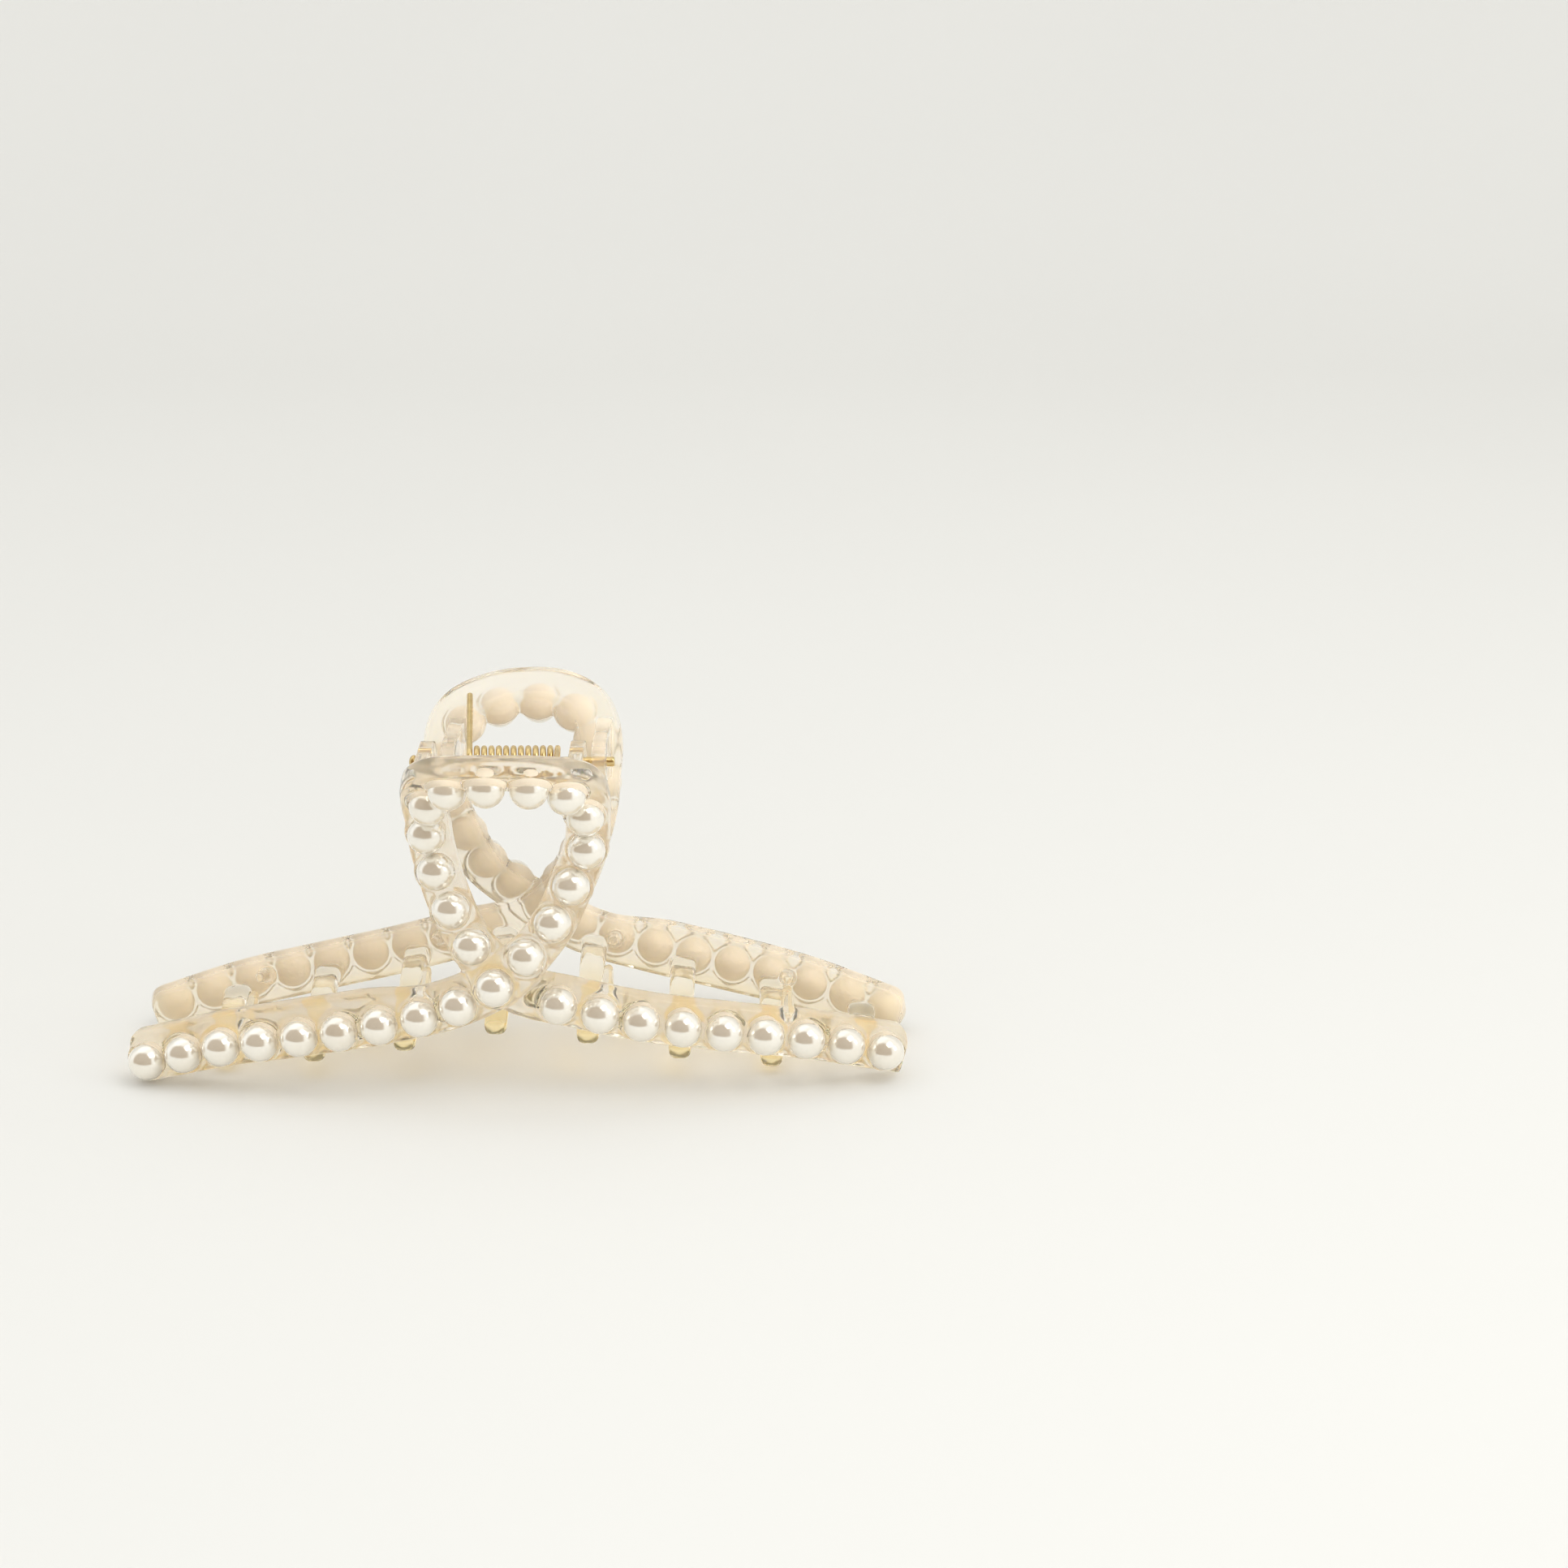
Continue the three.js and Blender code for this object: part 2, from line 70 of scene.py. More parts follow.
BAND_WIDTH = 8.0
LOOP_NARROWER = 1.0         # the band is this much narrower on the loop
NARROW_FROM, NARROW_TO = 18, 28  # heights between which it narrows
RIM_SHIFT = 1.6             # round the grip's rim the band runs outside the pearls' line
RIM_FROM, RIM_TO = 43, 52   # heights between which it moves out there
OVER_ARM_EXTRA = 1.4        # the over arm is this much taller above its pearls
EXTRA_FROM, EXTRA_TO = 12, 24  # how far out it grows,
EXTRA_FADE, EXTRA_END = 30, 60  # and how far out it shrinks again,
EXTRA_LOSS = 0.5            # by this share
END_ROUND = 2.6             # length over which the band's ends are rounded
END_NARROWER = 0.28         # share of the width that is lost at the very end
BAND_THICKNESS = 3.5
ARM_REACH = 62
ARM_BOW = 7.2               # the face is this much further in at BOW_REACH across
BOW_REACH = 60.5
OVER_LIFT = 0.9             # at the crossing each pass leaves the face by this much
CROSSING_HEIGHT = 21
CROSSING_LENGTH = 9
UNDER_ARM_RISE = 1.3        # the under arm's end is this much higher than the over arm's
ARM_SHARE = 0.3             # each arm is within this share of the band's length
ARM_MIDDLE_HEIGHT = 10

# height, and how far out the face is there, at mid clip
PROFILE = np.array([
    [-6, 16.4], [8, 16.8], [20, 17.0], [24.2, 15.8], [29, 14.0], [34.6, 12.3],
    [40.4, 11.7], [46.3, 13.2], [50.8, 16.2], [53.3, 19.2], [55.4, 23.0], [57, 26.8],
])
# across and height of the band's middle, along an arm, up the loop and down it
ARM_LINE = [(62, 3.0), (59.2, 3.8), (47, 7.3), (34.5, 9.8), (21, 12.6), (10, 15.6)]
LOOP_UP = [
    (-2.5, 19.5), (2.2, 23.5), (6.4, 28.3), (9.4, 34.1), (12.0, 40.5), (12.0, 46.5),
    (9.5, 51.5), (4.4, 53.5), (-0.1, 54.0),
]
LOOP_DOWN = [
    (-4.7, 53.9), (-9.6, 52.3), (-12.3, 47.9), (-12.6, 41.6), (-10.9, 34.7), (-8.1, 28.4),
    (-4.1, 22.7), (0.6, 18.1),
]

TOOTH_PITCH = 14.7
TEETH = 8
TOOTH_STAGGER = 0.25        # share of the pitch, so the two jaws' teeth pass each other
TOOTH_WIDTH = 4.2
TOOTH_DEPTH = 3.0
TOOTH_FILLET = 1.15
TOOTH_TAPER = 0.16          # share of the section that is lost at the tip
TOOTH_BLUNT = 0.02          # keeps the last section from closing to a point
TOOTH_REACH = 9.5           # past the middle plane
TOOTH_CLEAR = 2.2
TOOTH_ROOT = 1.2            # start inside the band
TOOTH_ROOT_DROP = 0.6       # below the arm's middle, and so are the next two
TOOTH_BEND = 0.62           # place of the bend, as a share of the way out
TOOTH_BEND_DROP = 1.4
TOOTH_CROSS_DROP = 1.6
TOOTH_CROSS = 0.4           # share of the drop to the tip at the middle plane
TOOTH_DROP = 8.8
TOOTH_DROP_LOSS = 2.6       # the end teeth drop less by this
TOOTH_TIP_LOW = 0.6
PEG_PLACES = (-43, -14.5, 14.5, 43)
PEG_LENGTH = 9
PEG_ROOT_RADIUS = 1.3
PEG_TIP_RADIUS = 0.8
PEG_SLOPE = 0.35
PEG_ABOVE = 1.2
PEG_FLARE = [(0.35, 0.6), (0.1, 1.3), (0, 1.9)]  # radius beyond the root's, and along

LUG_RADIUS = 3.4
LUG_WIDTH = 2.4
LUG_HOLE = 1.05
OUTER_LUG = -13.6
INNER_LUG = 10.2
# the lug's outline where it runs into the band: Y and height
LUG_ROOT = [(-9.2, 45.0), (-12.6, 47.2), (-15.2, 52.4), (-13.4, 53.4)]

pin_low, pin_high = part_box("hinge_pin")
HINGE_HEIGHT = (pin_low.z + pin_high.z) / 2 / MM
PIN_RADIUS = 0.78
PIN_HEAD_RADIUS = 1.15
PIN_HEAD = 1.0              # the head's length along the pin
PIN_DOME = 0.75             # share of the head that is domed,
PIN_BARREL = 0.9            # and where its straight part ends
PIN_HEAD_CHAMFER = 0.08
# radius beyond the pin's, and distance from the head, or from the far end
PIN_NECK = [(0.06, 0.02), (0, 0.12)]
PIN_TIP = [(0, -0.28), (-0.04, -0.1), (-0.16, 0)]
WIRE_RADIUS = 0.48          # 0.42 in the CAD
COIL_RADIUS = 2.2           # to the middle of the wire
COIL_TURNS = 12
COIL_PITCH = 1.16
REAR_LEG = (-1.3, 15.3, 6.5)    # end of each leg, from the middle of its end of the coil
FRONT_LEG = (0.6, -12.5, 2.4)

# ---- sizes of the finer mesh ----

LINE_STEPS = 40             # between two points of a line
LINE_EASE, FACE_EASE, WIRE_EASE = 3, 8, 2  # neighbours on each side that are averaged
BAND_RINGS = 420            # along the band
BAND_FILLET = 1.0           # rounding of the band's edges
CORNER_STEPS = 5
CUP_BASE_RADIUS = 3.62
CUP_RIM_RADIUS = 3.42
CUP_RIM = 1.0               # rim above the band's outer face
# radius beyond the base's and height, then radius beyond the rim's and height from it
CUP_BASE = [(-0.9, -2.6), (-0.2, -1.9), (0, -0.2), (-0.06, 0.25)]
CUP_LIP = [(0, -0.2), (-0.1, -0.04), (-0.25, 0)]
TURNED_SIDES = 40           # of cups and of the pin
DOME_ANGLES = np.linspace(0.12, math.pi / 2, 8)  # from the pole of the pin's head
PEG_SIDES = 24
PEG_TIP_ANGLES = np.linspace(0.3, 1.45, 5)  # up to near the pole of a peg's tip
TOOTH_STEPS = 30            # between two points of a tooth's line
TOOTH_RINGS = 40
TOOTH_RING_SHIFT = 0.02     # rings stand this much nearer the tip at mid length
TOOTH_LOOK = 0.02           # share of the length over which a tooth's direction is read
LUG_POINTS = 96             # round the lug's outline
LUG_ARC_POINTS = 25
WIRE_SIDES = 14
TURN_STEPS = 36             # in each turn of the spring
LEG_POINTS = 16             # along each leg of the spring
LEG_BEND = 0.05             # share of a leg that is left for its bend into the coil
VOXEL = 0.24                # the jaw is fused at this size
SMOOTH_PASSES = 7
SEAT_OVERLAP = 0.012        # the pearl is bonded, so its seat is this much tighter
EDGE_ANGLE = {"jaw": 40, "pin": 50, "spring": 60}  # sharper edges, in degrees, stay sharp
PEARL_RINGS, PEARL_SIDES = 32, 48
MARK_EVERY = 3              # one pearl in so many has a moulding mark,
MARK_DEPTH = 0.05           # a dimple this deep
MARK_RADIUS = 0.22
MARK_SIDE, MARK_OUT = -0.86, 0.5  # direction of the mark from the pearl's centre
PAINTED_ABSORPTION_TOP = 30              # the painted deeper tint, standing in for light's long path through the acrylic, deepens only below this height, from this Y on, and is full at that one
PAINTED_ABSORPTION_FROM, PAINTED_ABSORPTION_TO = -11, 6  # from this Y on, and is full at that one
EDGE_PAINTED_ABSORPTION = 0.5            # how deep the painted tint is at the arms' lower edge
EDGE_DEPTH = 2.5            # height over which it fades above the edge
EDGE_INNER = -10            # Y of the arms' inner side
EDGE_HEIGHT = 12.5          # of the arms' lower edge at mid clip
EDGE_CURVE = 1.1
MILK_FROM, MILK_TO = 0.2, 0.7  # inward part of the normal where milk starts and is full
GLUE_LEVEL = 0.08           # the pearl is coated with glue below this, from its centre


# ---- the jaw's surface and the band's line ----

def profile_out(height):
    """How far out the outer face is at mid clip, by a cubic through the profile."""
    i = 0
    while i < len(PROFILE) - 2 and height > PROFILE[i + 1][0]:
        i += 1

    def slope(a, b):
        return (PROFILE[b][1] - PROFILE[a][1]) / (PROFILE[b][0] - PROFILE[a][0])

    before = slope(max(i - 1, 0), i + 1)
    after = slope(i, min(i + 2, len(PROFILE) - 1))
    z0, y0 = PROFILE[i]
    z1, y1 = PROFILE[i + 1]
    span = z1 - z0
    t = (height - z0) / span
    return (y0 * (1 + 2 * t) * (1 - t) ** 2 + before * span * t * (1 - t) ** 2
            + y1 * t * t * (3 - 2 * t) + after * span * t * t * (t - 1))


def out_at(across, height):
    return profile_out(height) - ARM_BOW * (across / BOW_REACH) ** 2


def normal_at(across, height):
    d = 0.5
    by_across = (out_at(across + d, height) - out_at(across - d, height)) / (2 * d)
    by_height = (out_at(across, height + d) - out_at(across, height - d)) / (2 * d)
    n = np.array([-by_across, -1, -by_height])
    return n / np.linalg.norm(n)


def on_face(across, height):
    return np.array([across, -out_at(across, height), height])


def catmull_rom(points, samples):
    """Centripetal Catmull-Rom curve through points, with even steps in each span."""
    points = [np.array(p, float) for p in points]
    points = [2 * points[0] - points[1], *points, 2 * points[-1] - points[-2]]
    line = []
    for p0, p1, p2, p3 in zip(points, points[1:], points[2:], points[3:]):
        gaps = [max(np.linalg.norm(b - a) ** 0.5, 1e-6) for a, b in ((p0, p1), (p1, p2), (p2, p3))]
        g0, g1, g2 = gaps
        m1 = ((p1 - p0) / g0 - (p2 - p0) / (g0 + g1) + (p2 - p1) / g1) * g1
        m2 = ((p2 - p1) / g1 - (p3 - p1) / (g1 + g2) + (p3 - p2) / g2) * g1
        for t in np.arange(samples) / samples:
            line.append(p1 * (1 + 2 * t) * (1 - t) ** 2 + m1 * t * (1 - t) ** 2
                        + p2 * t * t * (3 - 2 * t) + m2 * t * t * (t - 1))
    line.append(points[-2])
    return np.array(line)


def smoothed(values, width):
    """Rows averaged with their neighbours, so the band has no creases."""
    kernel = np.hanning(2 * width + 3)[1:-1]
    kernel /= kernel.sum()
    padded = np.pad(values, ((width, width), (0, 0)), mode="edge")
    return np.stack([np.convolve(padded[:, k], kernel, "valid") for k in range(3)], 1)


class Line:
    """A line with its length, read at a distance from its start."""

    def __init__(self, points):
        self.points = points
        steps = np.linalg.norm(np.diff(points, axis=0), axis=1)
        self.at = np.concatenate([[0], np.cumsum(steps)])
        self.length = self.at[-1]

    def point(self, distance):
        return np.array([np.interp(distance, self.at, self.points[:, k]) for k in range(3)])

    def nearest(self, target, low, high):
        inside = (self.at >= low * self.length) & (self.at <= high * self.length)
        away = np.linalg.norm(self.points - target, axis=1)
        return self.at[np.argmin(np.where(inside, away, np.inf))]


def band_line():
    inmost = ARM_LINE[-1][0]
    start = [(-x, z) for x, z in ARM_LINE]
    end = [(x, z + UNDER_ARM_RISE * (x - inmost) / (ARM_REACH - inmost))
           for x, z in reversed(ARM_LINE)]
    places = [*start, *LOOP_UP, *LOOP_DOWN, *end]
    return Line(catmull_rom([on_face(x, z) for x, z in places], LINE_STEPS))


LINE = band_line()


def band_frames():
    """Point, along, across and out, at even steps along the band."""
    distances = np.linspace(0, LINE.length, BAND_RINGS)
    points = smoothed(np.array([LINE.point(d) for d in distances]), LINE_EASE)
    points[0], points[-1] = LINE.point(0), LINE.point(LINE.length)
    along = np.gradient(points, axis=0)
    along /= np.linalg.norm(along, axis=1)[:, None]
    out = smoothed(np.array([normal_at(p[0], p[2]) for p in points]), FACE_EASE)
    across = np.cross(out, along)
    across /= np.linalg.norm(across, axis=1)[:, None]
    out = np.cross(along, across)
    away = np.linalg.norm(points - on_face(0, CROSSING_HEIGHT), axis=1) / CROSSING_LENGTH
    side = np.where(distances < LINE.length / 2, 1, -1)
    points = points + out * (side * OVER_LIFT * np.exp(-away ** 2))[:, None]
    return distances, points, along, across, out


BAND = band_frames()


def band_frame(distance):
    distances, *rows = BAND
    found = [np.array([np.interp(distance, distances, row[:, k]) for k in range(3)])
             for row in rows]
    point, along, across, out = found
    unit = [v / np.linalg.norm(v) for v in (along, across, out)]
    return point, *unit


def pearl_frames():
    """Frames of the pearls, by the row that they stand in."""
    crossing = LINE.nearest(on_face(*LOOP_UP[0]), 0, 0.5)
    under = LINE.nearest(on_face(*UNDER_ARM_FIRST), 0.5, 1)
    return {
        "loop": [band_frame(crossing + i * PEARL_PITCH) for i in range(LOOP_PEARLS)],
        "over": [band_frame(crossing - (i + 1) * PEARL_PITCH) for i in range(ARM_PEARLS)],
        "under": [band_frame(under + i * PEARL_PITCH) for i in range(ARM_PEARLS)],
    }


PEARLS = pearl_frames()


# ---- mesh helpers ----

def new_object(name, verts, faces):
    """A mesh object from millimetre points, with its faces turned outward."""
    mesh = bpy.data.meshes.new(name)
    mesh.from_pydata([tuple(np.array(v) * MM) for v in verts], [], faces)
    bm = bmesh.new()
    bm.from_mesh(mesh)
    bmesh.ops.remove_doubles(bm, verts=bm.verts, dist=1e-7)
    bmesh.ops.recalc_face_normals(bm, faces=bm.faces)
    bm.to_mesh(mesh)
    bm.free()
    mesh.polygons.foreach_set("use_smooth", [True] * len(mesh.polygons))
    obj = bpy.data.objects.new(name, mesh)
    bpy.context.scene.collection.objects.link(obj)
    return obj


def skin(rings):
    """Points and faces of a closed skin over rings, with a fan at each end."""
    count = len(rings[0])
    verts = [p for ring in rings for p in ring]
    faces = []
    for r in range(len(rings) - 1):
        for i in range(count):
            a, b = r * count + i, r * count + (i + 1) % count
            faces.append((a, b, b + count, a + count))
    for ring, first in ((rings[0], 0), (rings[-1], (len(rings) - 1) * count)):
        middle = len(verts)
        verts.append(np.mean(ring, axis=0))
        faces += [(first + i, first + (i + 1) % count, middle) for i in range(count)]
    return verts, faces


def rounded_rectangle(width, low, high, radius):
    """Corner points of a rounded rectangle: width about 0, and from low to high."""
    points = []
    for x, y, turn in ((1, 1, 0), (-1, 1, 90), (-1, -1, 180), (1, -1, 270)):
        cx = x * (width / 2 - radius)
        cy = (high - radius) if y > 0 else (low + radius)
        for i in range(CORNER_STEPS + 1):
            a = math.radians(turn + 90 * i / CORNER_STEPS)
            points.append((cx + radius * math.cos(a), cy + radius * math.sin(a)))
    return points


def turned(profile, sides, place, axis, side):
    """A profile of (radius, along axis) turned about an axis through place."""
    other = np.cross(axis, side)
    rings = []
    for radius, along in profile:
        rings.append([place + axis * along
                      + radius * (side * math.cos(a) + other * math.sin(a))
                      for a in np.linspace(0, 2 * math.pi, sides, endpoint=False)])
    return skin(rings)


def wire(points, radius):
    """Rings of a round wire along points, turning as little as they can."""
    points = np.array(points)
    along = np.gradient(points, axis=0)
    along /= np.linalg.norm(along, axis=1)[:, None]
    normal = np.cross(along[0], (0.0, 0.0, 1.0))
    normal /= np.linalg.norm(normal)
    rings = []
    for point, t in zip(points, along):
        normal = normal - t * np.dot(normal, t)
        normal /= np.linalg.norm(normal)
        other = np.cross(t, normal)
        rings.append([point + radius * (normal * math.cos(a) + other * math.sin(a))
                      for a in np.linspace(0, 2 * math.pi, WIRE_SIDES, endpoint=False)])
    return rings


# ---- the jaw ----

def eased(value, low, high):
    """0 as far as low, 1 from high on, and a smooth change between."""
    t = min(max((value - low) / (high - low), 0), 1)
    return t * t * (3 - 2 * t)


def band_shell():
    """The band's skin: a rounded bar that is wider above the over arm's pearls."""
    distances, points, _, across, out = BAND
    rings = []
    for d, p, a, o in zip(distances, points, across, out):
        width = BAND_WIDTH - LOOP_NARROWER * eased(p[2], NARROW_FROM, NARROW_TO)
        extra = OVER_ARM_EXTRA * eased(-p[0], EXTRA_FROM, EXTRA_TO)
        extra *= 1 - EXTRA_LOSS * eased(-p[0], EXTRA_FADE, EXTRA_END)
        from_end = min(d, LINE.length - d, END_ROUND) / END_ROUND
        loss = END_NARROWER * (width + extra) * (1 - math.sqrt(1 - (1 - from_end) ** 2))
        shift = RIM_SHIFT * eased(p[2], RIM_FROM, RIM_TO) - (extra - loss) / 2
        section = rounded_rectangle(width + extra - loss, -BAND_THICKNESS, 0, BAND_FILLET)
        rings.append([p + (w - shift) * a + n * o for w, n in section])
    return skin(rings)


def cup_shell(frame_):
    point, along, _, out = frame_
    profile = [(CUP_BASE_RADIUS + r, h) for r, h in CUP_BASE]
    profile += [(CUP_RIM_RADIUS + r, CUP_RIM + h) for r, h in CUP_LIP]
    return turned(profile, TURNED_SIDES, point, out, along)


def arm_height(across):
    """Height of the middle of the arm at a place across."""
    low, high = (0, ARM_SHARE) if across < 0 else (1 - ARM_SHARE, 1)
    target = on_face(across, ARM_MIDDLE_HEIGHT)
    return LINE.point(LINE.nearest(target, low, high))[2]


def tooth_shell(across):
    """A curved prong from the arm, across the middle plane, to a rounded tip."""
    arm = arm_height(across)
    inner = out_at(across, arm) - BAND_THICKNESS
    reach = min(TOOTH_REACH, inner - TOOTH_CLEAR)
    drop = TOOTH_DROP - TOOTH_DROP_LOSS * abs(across) / ARM_REACH
    tip = max(arm - drop, TOOTH_TIP_LOW)
    middle = (arm - TOOTH_CROSS_DROP) * (1 - TOOTH_CROSS) + tip * TOOTH_CROSS
    spine = Line(catmull_rom([
        (across, -inner - TOOTH_ROOT, arm - TOOTH_ROOT_DROP),
        (across, -inner * TOOTH_BEND, arm - TOOTH_BEND_DROP),
        (across, 0, middle), (across, reach, tip)], TOOTH_STEPS))
    rings = []
    for t in np.linspace(0, 1, TOOTH_RINGS):
        near = min(t + TOOTH_RING_SHIFT * math.sin(math.pi * t), 1)
        point = spine.point(near * spine.length)
        ahead = spine.point(min(near + TOOTH_LOOK, 1) * spine.length)
        behind = spine.point(max(near - TOOTH_LOOK, 0) * spine.length)
        along = (ahead - behind) / np.linalg.norm(ahead - behind)
        up = np.array([0, -along[2], along[1]])
        left = (1 - near) * spine.length / (TOOTH_DEPTH / 2)
        nose = math.sqrt(max(1 - (1 - min(left, 1)) ** 2, TOOTH_BLUNT))
        taper = (1 - TOOTH_TAPER * near ** 2) * nose
        section = rounded_rectangle(TOOTH_WIDTH * taper, -TOOTH_DEPTH / 2 * taper,
                                    TOOTH_DEPTH / 2 * taper, TOOTH_FILLET * taper)
        rings.append([point + np.array([x, 0, 0]) + up * n for x, n in section])
    return skin(rings)


def peg_shell(across):
    """A tapered peg that rises inward from the arm, flared at its root."""
    arm = arm_height(across)
    inner = out_at(across, arm) - BAND_THICKNESS
    axis = np.array([0, 1, PEG_SLOPE])
    axis /= np.linalg.norm(axis)
    place = np.array([across, -inner, arm + PEG_ABOVE]) - axis
    r0, r1 = PEG_ROOT_RADIUS, PEG_TIP_RADIUS
    profile = [(r0 + r, h) for r, h in PEG_FLARE] + [(r1, PEG_LENGTH - r1)]
    profile += [(r1 * math.cos(a), PEG_LENGTH - r1 + r1 * math.sin(a)) for a in PEG_TIP_ANGLES]
    return turned(profile, PEG_SIDES, place, axis, np.array([1.0, 0, 0]))


def lug_shell(middle):
    """A plate across the hinge line: an outline with a hole, joined as a bridged skin."""
    outer = [(LUG_RADIUS * math.cos(a), HINGE_HEIGHT + LUG_RADIUS * math.sin(a))
             for a in np.linspace(math.pi / 2, -math.pi / 2, LUG_ARC_POINTS)]
    outer += LUG_ROOT
    count = LUG_POINTS
    loop = Line(np.array([(0, y, z) for y, z in [*outer, outer[0]]]))
    outer = [loop.point(loop.length * i / count)[1:] for i in range(count)]
    hole = []
    for y, z in outer:
        a = math.atan2(z - HINGE_HEIGHT, y)
        hole.append((LUG_HOLE * math.cos(a), HINGE_HEIGHT + LUG_HOLE * math.sin(a)))
    verts, faces = [], []
    for x in (middle - LUG_WIDTH / 2, middle + LUG_WIDTH / 2):
        verts += [(x, y, z) for y, z in outer] + [(x, y, z) for y, z in hole]
    for i in range(count):
        j = (i + 1) % count
        a, b, c, d = i, j, count + i, count + j
        far = 2 * count
        faces += [(a, b, d, c), (a + far, c + far, d + far, b + far),
                  (a, a + far, b + far, b), (c, d, d + far, c + far)]
    return verts, faces


def joined_shells(shells):
    verts, faces = [], []
    for shell_verts, shell_faces in shells:
        base = len(verts)
        verts += list(shell_verts)
        faces += [tuple(i + base for i in face) for face in shell_faces]
    return verts, faces


def applied(obj):
    """Replaces the object's mesh by what its modifiers make of it."""
    bpy.context.view_layer.update()
    graph = bpy.context.evaluated_depsgraph_get()
    mesh = bpy.data.meshes.new_from_object(obj.evaluated_get(graph))
    obj.modifiers.clear()
    obj.data = mesh


def soft_below(obj, angle):
    """Shades smooth but for edges sharper than an angle in degrees."""
    bm = bmesh.new()
    bm.from_mesh(obj.data)
    for face in bm.faces:
        face.smooth = True
    for edge in bm.edges:
        edge.smooth = edge.calc_face_angle(0) < math.radians(angle)
    bm.to_mesh(obj.data)
    bm.free()


def fused_jaw():
    """The whole moulding as one skin, with a seat cut for each pearl."""
    places = [(i - TEETH / 2 + TOOTH_STAGGER) * TOOTH_PITCH for i in range(TEETH)]
    frames = [f for row in PEARLS.values() for f in row]
    shells = [band_shell(), *map(cup_shell, frames), *map(tooth_shell, places),
              *map(peg_shell, PEG_PLACES), lug_shell(OUTER_LUG), lug_shell(INNER_LUG)]
    jaw = new_object("jaw_moulding", *joined_shells(shells))
    fuse = jaw.modifiers.new("fuse", "REMESH")
    fuse.mode = "VOXEL"
    fuse.voxel_size = VOXEL * MM
    fuse.use_smooth_shade = True
    ease = jaw.modifiers.new("ease", "SMOOTH")
    ease.factor = 0.5
    ease.iterations = SMOOTH_PASSES
    applied(jaw)
    stand_flat(jaw)
    balls = [ball_shell(pearl_centre(f), PEARL_RADIUS - SEAT_OVERLAP, f) for f in frames]
    cutter = new_object("seats", *joined_shells(balls))
    cut = jaw.modifiers.new("seats", "BOOLEAN")
    cut.operation = "DIFFERENCE"
    cut.solver = "MANIFOLD"
    cut.object = cutter
    applied(jaw)
    bpy.data.objects.remove(cutter)
    soft_below(jaw, EDGE_ANGLE["jaw"])
    mark_painted_absorption(jaw)
    mark_milk(jaw)
    return jaw


def mark_painted_absorption(jaw):
    """Marks how deep the painted tint is, a deeper colour standing in for light's long path
    through the acrylic: most at the tooth tips and along the arms' lower edge.
    """
    mark = jaw.data.attributes.new("painted_absorption", "FLOAT", "POINT")
    for vertex, value in zip(jaw.data.vertices, mark.data):
        x, y, z = vertex.co / MM
        past_arm = eased(y, PAINTED_ABSORPTION_FROM, PAINTED_ABSORPTION_TO) if z < PAINTED_ABSORPTION_TOP else 0
        edge = lower_edge(x)
        low = EDGE_PAINTED_ABSORPTION * eased(z, edge + EDGE_DEPTH, edge) if y < EDGE_INNER else 0
        value.value = max(past_arm, low)


def mark_milk(jaw):
    """Marks how much each vertex faces the hair, because the moulding is milky there."""
    mark = jaw.data.attributes.new("milk", "FLOAT", "POINT")
    for vertex, value in zip(jaw.data.vertices, mark.data):
        value.value = eased(vertex.normal.y, MILK_FROM, MILK_TO)


def lower_edge(x):
    """Height of the arms' lower edge, near enough for colour."""
    return EDGE_HEIGHT - EDGE_HEIGHT * (abs(x) / ARM_REACH) ** EDGE_CURVE


def stand_flat(obj):
    """Presses whatever is below the floor up to it."""
    co = np.zeros(len(obj.data.vertices) * 3, np.float32)
    obj.data.vertices.foreach_get("co", co)
    co = co.reshape(-1, 3)
    co[:, 2] = np.maximum(co[:, 2], 0)
    obj.data.vertices.foreach_set("co", co.ravel())
    obj.data.update()


# ---- pearls ----

def pearl_centre(frame_):
    point, _, _, out = frame_
    return point + out * PEARL_LIFT


def ball_shell(centre, radius, frame_, rings=24, sides=40, dimple=0.0):
    """A ball with its poles along the band, and a shallow moulding mark if asked."""
    _, along, across, out = frame_
    verts, faces = [], []
    for i in range(1, rings):
        a = math.pi * i / rings
        for k in range(sides):
            b = 2 * math.pi * k / sides
            d = (along * math.cos(a) + across * math.sin(a) * math.cos(b)
                 + out * math.sin(a) * math.sin(b))
            verts.append(centre + d * radius)
    for i in range(rings - 2):
        for k in range(sides):
            j = (k + 1) % sides
            faces.append((i * sides + k, i * sides + j, (i + 1) * sides + j, (i + 1) * sides + k))
    for pole, first, turn in ((along, 0, 1), (-along, (rings - 2) * sides, -1)):
        verts.append(centre + pole * radius)
        for k in range(sides):
            j = (k + 1) % sides
            faces.append((first + k, first + j, len(verts) - 1)[::turn])
    if dimple:
        mark = across * MARK_SIDE + out * MARK_OUT
        mark /= np.linalg.norm(mark)
        for i, v in enumerate(verts):
            d = (v - centre) / radius
            away = np.linalg.norm(d - mark) * radius
            verts[i] = v - d * dimple * math.exp(-(away / MARK_RADIUS) ** 2)
    return verts, faces


def half_turn(obj):
    obj.data.transform(Matrix.Rotation(math.pi, 4, "Z"))


def pearl_nodes(row, index):
    """The CAD node that holds a pearl: alone, or as one of a pair on an arm."""
    if row == "loop":
        return f"loop_pearl_{index + 1:02d}"
    if index == ARM_PEARLS - 1:
        return f"{row}_arm_end_pearl"
    return f"{row}_arm_pearls_{index // 2 + 1:02d}"


# ---- metal ----

